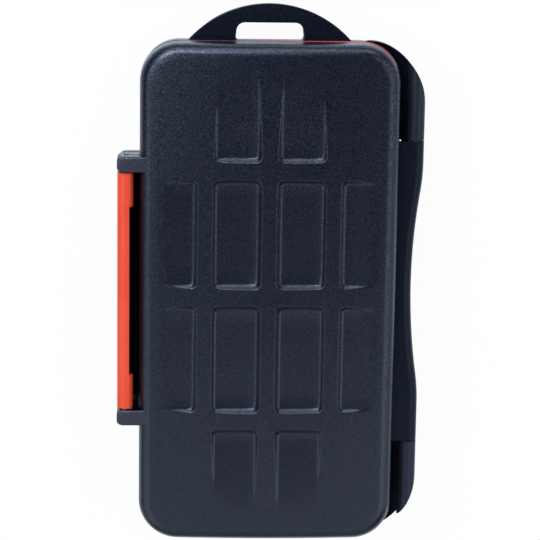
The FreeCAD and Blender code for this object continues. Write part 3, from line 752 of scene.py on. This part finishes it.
# %% [markdown]
# ## The hinge leaf
# The lid's half of the hinge is a long leaf: a flat web that ends in a round barrel, drawn in
# at its waist so that a thumb can open the case. One cross-section is swept along the
# hinge, and only the place of the barrel's centre changes on the way.

# %% Make the leaf
HINGE_X, HINGE_Z, BARREL_RADIUS, LEAF_LENGTH = 37.5 * MM, 12.3 * MM, 2.3 * MM, 79.5 * MM
WAIST_DEPTH, WAIST_LENGTH, WAIST_BLEND, WAIST_SHIFT = 2.4 * MM, 64 * MM, 8 * MM, 2.4 * MM
WEB_BOTTOM = 12.9 * MM
WEB_ROOT, WEB_EDGE, WEB_NECK = 32.2 * MM, 33.6 * MM, 34.4 * MM


def waist_inset(y):
    """How far the barrel's centre lies inside the hinge line."""
    y = y - WAIST_SHIFT
    turn = 2 * math.atan(2 * WAIST_DEPTH / WAIST_LENGTH)
    knee = WAIST_LENGTH / 2 - WAIST_BLEND
    hollow, shoulder = knee / math.sin(turn), WAIST_BLEND / math.sin(turn)
    if abs(y) < knee:
        return WAIST_DEPTH - hollow + math.sqrt(hollow ** 2 - y ** 2)
    if abs(y) < WAIST_LENGTH / 2:
        return shoulder - math.sqrt(shoulder ** 2 - (WAIST_LENGTH / 2 - abs(y)) ** 2)
    return 0.0


def leaf_section(y):
    centre = HINGE_X - waist_inset(y)
    web_top = HINGE_Z + BARREL_RADIUS
    turns = np.radians(np.linspace(90, -195, 32))
    arc = circle(centre, HINGE_Z, BARREL_RADIUS, turns)
    arc[:, 0] = np.where(np.degrees(turns) < -90, np.maximum(arc[:, 0], WEB_NECK), arc[:, 0])
    top = [(WEB_ROOT, web_top), (WEB_EDGE, web_top)]
    bottom = [(WEB_EDGE, WEB_BOTTOM), (WEB_ROOT, WEB_BOTTOM)]
    return np.concatenate([top, arc, bottom])


def make_leaf():
    half = LEAF_LENGTH / 2
    stations = np.concatenate([[-half], np.linspace(-32, 36, 69) * MM, [half]])
    points, faces = loft([at_y(leaf_section(y), y) for y in stations])
    made = black_piece("hinge_leaf", points, faces, "lid")
    round_edges(made, 0.3 * MM, 3, 40)
    return made


make_leaf()

# %% [markdown]
# ## Knuckles and flanges
# At each end of the leaf the base carries a barrel of the same size on a low flange, whose top
# slopes down into a dark groove beside the wall. Both are trimmed to one large round corner.
# The barrel's section is cut off flat where the corner passes through it, so its points are
# placed on the circle or on that cut, whichever is nearer. The flange is a strip between an
# inner and an outer line. It starts with a narrow toe and a heel under the leaf, which stay
# clear of the turning barrel, and its outer line droops into a tail at the end of the case.

# %% Make the knuckles
KNUCKLE_START, FLANGE_END, FLANGE_CORNER = LEAF_LENGTH / 2 + 0.25 * MM, 65.7 * MM, 17 * MM
FLANGE_BOTTOM, FLANGE_INNER, FLANGE_TOP = 8.2 * MM, 8.6 * MM, 10.4 * MM
TOE, HEEL, STEP = 1.9 * MM, 0.45 * MM, 0.01 * MM
TOE_INNER, TOE_OUTER, FLANGE_ROOT = 34.25 * MM, 36.0 * MM, HALF_WIDTH - 1.2 * MM
INNER_ARC, ARC_END = 8.8 * MM, math.radians(81)
DROOP, DROOP_START = 3.5 * MM, 1.05
TAIL = (((23.9 * MM, 63.6 * MM), (24.6 * MM, 64.9 * MM)),
        ((23.4 * MM, 63.4 * MM), (23.5 * MM, 64.3 * MM)))
CORNER_X, CORNER_Y = HINGE_X + BARREL_RADIUS - FLANGE_CORNER, FLANGE_END - FLANGE_CORNER


def corner_limit(y):
    """How far out the round hinge corner lets a piece reach."""
    return CORNER_X + math.sqrt(max(FLANGE_CORNER ** 2 - max(y - CORNER_Y, 0) ** 2, 0))


def knuckle_section(y):
    limit = corner_limit(y)
    cut = math.acos(np.clip((limit - HINGE_X) / BARREL_RADIUS, -0.999, 1))
    cut = max(cut, math.radians(20))
    turns = np.linspace(cut, 2 * math.pi - cut, 40)
    side = np.linspace(-math.sin(cut), math.sin(cut), 12)[1:-1] * BARREL_RADIUS
    arc = circle(HINGE_X, HINGE_Z, BARREL_RADIUS, turns)
    flat = np.stack([HINGE_X + np.sqrt(BARREL_RADIUS ** 2 - side ** 2), HINGE_Z + side], axis=1)
    section = np.concatenate([arc, flat])
    section[:, 0] = np.minimum(section[:, 0], limit)
    return section


def make_knuckle(name, sign):
    thinnest = HINGE_X - BARREL_RADIUS + 0.1 * MM
    last = CORNER_Y + math.sqrt(FLANGE_CORNER ** 2 - (thinnest - CORNER_X) ** 2)
    stations = np.concatenate([[KNUCKLE_START, 44 * MM], np.linspace(CORNER_Y, last, 40)])
    points, faces = loft([at_y(knuckle_section(y), y) for y in stations])
    points = points * (1, sign, 1)
    made = black_piece(name, points, flipped(faces) if sign > 0 else faces, "base", PALE_SMOOTH)
    round_edges(made, 0.25 * MM, 2, 50)
    return made


def flange_corner(inner, outer):
    """A pair of points round the corner, from the angles of the inner and the outer arc."""
    droop = DROOP * max(outer - DROOP_START, 0) ** 2
    return ((CORE[0] + INNER_ARC * math.cos(inner), CORE[1] + INNER_ARC * math.sin(inner)),
            (min(CORNER_X + FLANGE_CORNER * math.cos(outer), HINGE_X),
             CORNER_Y + FLANGE_CORNER * math.sin(outer) - droop))


def flange_plan():
    """Pairs of inner and outer points along the flange, from its toe to its tail."""
    heel = KNUCKLE_START - HEEL
    toe = [((TOE_INNER, y), (TOE_OUTER, y)) for y in (KNUCKLE_START - TOE, heel - STEP)]
    toe += [((FLANGE_ROOT, y), (TOE_OUTER, y)) for y in (heel, KNUCKLE_START - STEP)]
    straight = [((FLANGE_ROOT, y), (HINGE_X, y)) for y in np.linspace(KNUCKLE_START, CORE[1], 8)]
    arc_start = math.asin((CORE[1] - CORNER_Y) / FLANGE_CORNER)
    inner = np.linspace(0, math.pi / 2, 30)[1:]
    outer = np.linspace(arc_start, ARC_END, 30)[1:]
    return toe + straight + list(map(flange_corner, inner, outer)) + list(TAIL)


def make_flange(name, sign):
    rings = []
    for inner, outer in flange_plan():
        levels = ((inner, FLANGE_BOTTOM), (outer, FLANGE_BOTTOM),
                  (outer, FLANGE_TOP), (inner, FLANGE_INNER))
        rings.append([(point[0], point[1] * sign, z) for point, z in levels])
    points, faces = loft(rings)
    made = black_piece(name, points, flipped(faces) if sign > 0 else faces, "base")
    round_edges(made, 0.25 * MM, 3, 40)
    return made


for place, sign in (("upper", 1), ("lower", -1)):
    make_knuckle(f"{place}_knuckle", sign)
    make_flange(f"{place}_hinge_flange", sign)

# %% [markdown]
# ## The latch
# The latch is a long bar: a round barrel on the pin, and a plate that hangs from it to a hook
# under the base's catch. Between its two ends the back of the barrel is cut away. The same
# cross-section serves both, with its back points held to a plane where it is relieved.

# %% Make the latch
LATCH_RADIUS, PLATE_THICKNESS = 2.05 * MM, 1.9 * MM
RELIEF_LENGTH, RELIEF_DEPTH = 44.3 * MM, 1.0 * MM
HOOK_GAP, HOOK_DEPTH, HOOK_TIP_GAP, LIP_DROP = 0.3 * MM, 1.4 * MM, 0.8 * MM, 1.2 * MM


def latch_section(relieved):
    face = LATCH_X - LATCH_RADIUS
    plate = face + PLATE_THICKNESS
    tip = -HALF_WIDTH - HOOK_TIP_GAP
    hook_top = CATCH_LEVEL - HOOK_GAP
    hook_bottom = hook_top - HOOK_DEPTH
    join = math.acos((plate - LATCH_X) / LATCH_RADIUS)
    turns = np.linspace(math.pi, -join, 30)
    barrel = circle(LATCH_X, LATCH_Z, LATCH_RADIUS, turns)
    if relieved:
        barrel[:, 0] = np.minimum(barrel[:, 0], LATCH_X + LATCH_RADIUS - RELIEF_DEPTH)
    corners = [(plate, hook_top), (tip, hook_top), (tip, hook_bottom),
               (plate, hook_bottom - LIP_DROP / 2), (face, hook_bottom - LIP_DROP)]
    return np.concatenate([barrel, corners])


def make_latch():
    half, relief = LATCH_LENGTH / 2, RELIEF_LENGTH / 2
    stations = [(-half, False), (-relief, False), (-relief, True),
                (relief, True), (relief, False), (half, False)]
    points, faces = loft([at_y(latch_section(relieved), LATCH_SHIFT + y)
                          for y, relieved in stations])
    made = piece("latch_bar", points, faces, "latch", ORANGE)
    round_edges(made, 0.35 * MM, 4, 40)
    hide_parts("latch")
    return made


make_latch()

# %% [markdown]
# ## The seal
# A silicone ring sits on the base's rim, and its soft outer bead shows as a thin red line
# between the shells. Its profile is carried round the outline of the case. A soft ring
# never sits quite true, so it stands out a little more on the hinge side and is slightly skewed.

# %% Make the seal
SEAL_BOTTOM, SEAL_THICKNESS, SEAL_PROUD = 12.0 * MM, 0.6 * MM, 0.10 * MM
SEAL_DRIFT = np.array([0.14, -0.06, 0]) * MM
SEAL_SKEW = 0.004
TONGUE_HALF, TONGUE_BOTTOM = 0.45 * MM, 10.65 * MM


def outline_ring(offset, z, steps=12):
    ring = rounded_rectangle((-HALF_WIDTH - offset, -HALF_LENGTH - offset),
                             (HALF_WIDTH + offset, HALF_LENGTH + offset), CORNER + offset, steps)
    return np.insert(ring, 2, z, axis=1)


def make_seal():
    radius = SEAL_THICKNESS / 2
    middle = SEAL_BOTTOM + radius
    bead = [(SEAL_PROUD - radius + radius * math.cos(turn), middle + radius * math.sin(turn))
            for turn in np.linspace(-math.pi / 2, math.pi / 2, 9)]
    far, close = -WALL / 2 - TONGUE_HALF, -WALL / 2 + TONGUE_HALF
    tongue = [(far, SEAL_BOTTOM), (far, TONGUE_BOTTOM),
              (close, TONGUE_BOTTOM), (close, SEAL_BOTTOM)]
    profile = bead + [(-WALL, SEAL_BOTTOM + SEAL_THICKNESS), (-WALL, SEAL_BOTTOM)] + tongue
    rings = np.array([outline_ring(offset, z) for offset, z in profile]) + SEAL_DRIFT
    rings[..., 1] += SEAL_SKEW * rings[..., 0]
    points, faces = closed_loft(rings)
    made = piece("seal", points, faces, "base", RED)
    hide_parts("seal_ring")
    return made


make_seal()

# %% [markdown]
# ## The card trays
# Each shell holds a soft tray with six pockets, and a thumb scallop between each pair so that
# a card can be lifted out. A tray is again a grid lifted to a height, and its height at
# a point depends only on how far that point is from the nearest pocket's edge.

# %% Make the trays
TRAY_CORNER = CORNER - WALL - 0.25 * MM
POCKET_HALF, POCKET_CORNER = (12.3 * MM, 16.3 * MM), 1.5 * MM
POCKET_X, POCKET_PITCH = 14.283 * MM, 39.425 * MM
SCALLOP_RADIUS, SCALLOP_DEPTH = 6 * MM, 2.4 * MM
EDGE_SOFT, FLOOR_SOFT, WALL_RUN = 0.6 * MM, 0.5 * MM, 0.2 * MM
POCKET_LINES = np.array([-1.9, -1.3, -0.9, -0.7, -0.45, -0.28, -0.2,
                         0, 0.06, 0.16, 0.3, 0.45, 0.6]) * MM


def pocket_drop(away, depth):
    """How far below the tray's face a point is, by its distance outside a pocket's edge."""
    turns = np.linspace(0, math.pi / 2, 7)
    inside = -WALL_RUN - FLOOR_SOFT * (1 - np.cos(turns))[::-1]
    places = np.concatenate([inside, EDGE_SOFT * (1 - np.cos(turns))])
    floor = depth - FLOOR_SOFT * (1 - np.sin(turns))[::-1]
    brow = EDGE_SOFT * (1 - np.sin(turns))
    return np.interp(away, places, np.concatenate([floor, brow]))


def pocket_lines(centre, half):
    """Lines packed over the two opposite walls of a pocket."""
    return np.concatenate([centre - half - POCKET_LINES, centre + half + POCKET_LINES])


def make_tray(name, node, body, face_z, depth, back_z):
    rows = np.array([-1, 0, 1]) * POCKET_PITCH
    lip = EDGE_SOFT * (1 - np.cos(np.linspace(0, math.pi / 2, 6)))
    x_lines = mirrored(CORE[0] + TRAY_CORNER - lip, CORE[0], 0,
                       pocket_lines(POCKET_X, POCKET_HALF[0]), spread(3.9 * MM, 24.6 * MM, 3 * MM))
    y_lines = np.unique(np.round(np.concatenate(
        [mirrored(CORE[1] + TRAY_CORNER - lip, CORE[1])]
        + [pocket_lines(row, POCKET_HALF[1]) for row in rows]
        + [row + np.linspace(-12, 12, 49) * MM for row in rows]), 7))
    x, y, inset = outline_grid(x_lines, y_lines, TRAY_CORNER)
    drop = edge_drop(inset, EDGE_SOFT)
    for row in rows:
        pocket = outside_box(np.abs(x), y, (POCKET_X, row), POCKET_HALF, POCKET_CORNER)
        scallop = np.hypot(x, y - row) - SCALLOP_RADIUS
        drop = np.maximum(drop, pocket_drop(pocket, depth))
        drop = np.maximum(drop, pocket_drop(scallop, SCALLOP_DEPTH))
    side = 1 if face_z > back_z else -1
    grid = np.stack([x, y, face_z - side * drop], axis=-1)
    back = [(TRAY_CORNER, back_z + side * EDGE_SOFT), (TRAY_CORNER - EDGE_SOFT, back_z)]
    points, faces = closed_shell(grid, back)
    made = piece(name, points, faces if side > 0 else flipped(faces), body, RUBBER)
    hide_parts(node)
    return made


make_tray("base_tray", "base_card_tray", "base",
          face_z=10.5 * MM, depth=5.5 * MM, back_z=2.0 * MM)
make_tray("lid_tray", "lid_card_tray", "lid",
          face_z=13.25 * MM, depth=2.9 * MM, back_z=17.9 * MM)

# %% [markdown]
# ## Steel pins
# The three pins are already right in the engineering model: plain cut wire. They keep their
# meshes and only get a finish.

# %% Dress the pins
for pin in ("latch_pin", "hinge_pin_upper", "hinge_pin_lower"):
    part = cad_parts[pin]
    part.data.materials.clear()
    part.data.materials.append(STEEL)
print("pins dressed in", STEEL.name)

# %% [markdown]
# ## Stage and light
# The photograph is a cut-out on pure white, so the floor is white for the camera, and it still
# takes the case's shadow. Black plastic shows little but what it mirrors, and a wholly white
# floor would outline every edge. So round the case the floor is a pale sheet, dark further out
# as a table in a dark studio is, and in reflections it also glows pale round the case with a
# cool tint: a painted reflection.
#
# The lamps are placed by what mirrors them. Two boxes beyond the loop light the walls that face
# it. Boxes and low strips on both long sides draw the lid's edges and the light lines in its
# panels, and a dim panel close above the near end shows in the lid's face.

# %% Floor, world and lamps
PALE_CENTRE, PALE_SPAN = (0.06, -0.01, 0), 0.25
DARK_SHEET, PALE_SHEET = (0.10, 0.11, 0.13, 1), (0.70, 0.75, 0.80, 1)
WHITE, PAINTED_REFLECTION_TINT = (1, 1, 1, 1), (0.70, 0.83, 1.0, 1)
SEEN_WHITE, PAINTED_REFLECTION_GLOW = 0.96, 0.6
FLOOR_REACH, FLOOR_LEVEL = 3.0, -0.2 * MM


def make_floor():
    finish = Finish("white_floor")
    seen = finish.add("ShaderNodeLightPath", output="Is Camera Ray")
    mirrored_in = finish.add("ShaderNodeLightPath", output="Is Glossy Ray")
    through = finish.add("ShaderNodeLightPath", output="Is Transmission Ray")
    away = finish.add("ShaderNodeVectorMath", {"operation": "DISTANCE"},
                      {0: finish.place, 1: PALE_CENTRE}, output="Value")
    near = finish.ramp(away * (1 / PALE_SPAN), (0.45, 1.0), (0.80, 0.0))
    direct = seen.math("MAXIMUM", seen, through)
    # Painted reflection: in glossy rays the floor glows round the case.
    white = seen.math("MAXIMUM", direct * SEEN_WHITE, mirrored_in * near * PAINTED_REFLECTION_GLOW)
    pale = seen.math("MAXIMUM", direct, near)
    sheet = finish.blend(pale, DARK_SHEET, PALE_SHEET)
    paper = finish.add("ShaderNodeBsdfDiffuse", None, {"Color": sheet})
    # The glow seen in reflections has a cool tint.
    tint = finish.blend(mirrored_in, WHITE, PAINTED_REFLECTION_TINT)
    glow = finish.add("ShaderNodeEmission", None, {"Color": tint, "Strength": 1.0})
    both = finish.add("ShaderNodeMixShader", None, {0: white, 1: paper, 2: glow})
    finish.add("ShaderNodeOutputMaterial", None, {"Surface": both})
    corners = [(x * FLOOR_REACH, y * FLOOR_REACH, FLOOR_LEVEL)
               for x, y in ((-1, -1), (1, -1), (1, 1), (-1, 1))]
    mesh = bpy.data.meshes.new("floor")
    mesh.from_pydata(corners, [], [(0, 1, 2, 3)])
    mesh.materials.append(finish.material)
    floor = bpy.data.objects.new("floor", mesh)
    bpy.context.collection.objects.link(floor)
    floor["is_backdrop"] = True


def make_lamp(name, place, size, radiance, target=(0, 0, 0.02)):
    """A rectangular softbox of a given radiance, turned to the case."""
    data = bpy.data.lights.new(name, "AREA")
    data.shape = "RECTANGLE"
    data.size, data.size_y = size
    data.energy = radiance * math.pi * size[0] * size[1]
    lamp = bpy.data.objects.new(name, data)
    lamp.location = place
    lamp.rotation_euler = (Vector(place) - Vector(target)).to_track_quat("Z", "Y").to_euler()
    bpy.context.collection.objects.link(lamp)
    print(f"lamp {name}: {data.energy:.2f} W")


def make_world(strength):
    world = bpy.data.worlds.new("studio")
    bpy.context.scene.world = world
    world.use_nodes = True
    background = world.node_tree.nodes["Background"]
    background.inputs["Color"].default_value = WHITE
    background.inputs["Strength"].default_value = strength


make_floor()
make_world(0.152)
make_lamp("loop_side_softbox", (0.0, 0.84, 0.28), (1.2, 0.42), 2.3)
make_lamp("loop_side_high_box", (-0.32, 0.64, 0.62), (0.62, 0.36), 7.6)
make_lamp("latch_side_strip", (-0.60, 0.36, 0.64), (1.0, 0.50), 1.9)
make_lamp("latch_side_fill", (-0.68, -0.42, 0.50), (0.8, 0.60), 0.8)
make_lamp("near_latch_strip", (-0.75, -0.52, 0.14), (0.7, 0.24), 0.6)
make_lamp("high_latch_panel", (-0.40, 0.12, 1.0), (0.34, 0.44), 2.5)
make_lamp("hinge_side_softbox", (0.61, 0.0, 0.57), (1.0, 0.56), 1.15)
make_lamp("hinge_side_strip", (0.80, 0.0, 0.19), (1.0, 0.30), 0.70)
make_lamp("table_bounce", (0.0, -0.80, 0.30), (1.0, 0.30), 0.5)
make_lamp("overhead_panel", (0.0, -0.34, 0.42), (0.9, 0.44), 0.67, target=(0, -0.34, 0))
bpy.context.scene.view_settings.view_transform = "Standard"

# %% [markdown]
# ## Closing the scene
# The boxes of the dressed case and of the engineering model are printed side by side.

# %% Print sizes
visual_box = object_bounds()
boxes = {"cad": cad_box, "visual": visual_box}
for name, box in boxes.items():
    print(name, [round(value / MM, 2) for corner in box for value in corner])
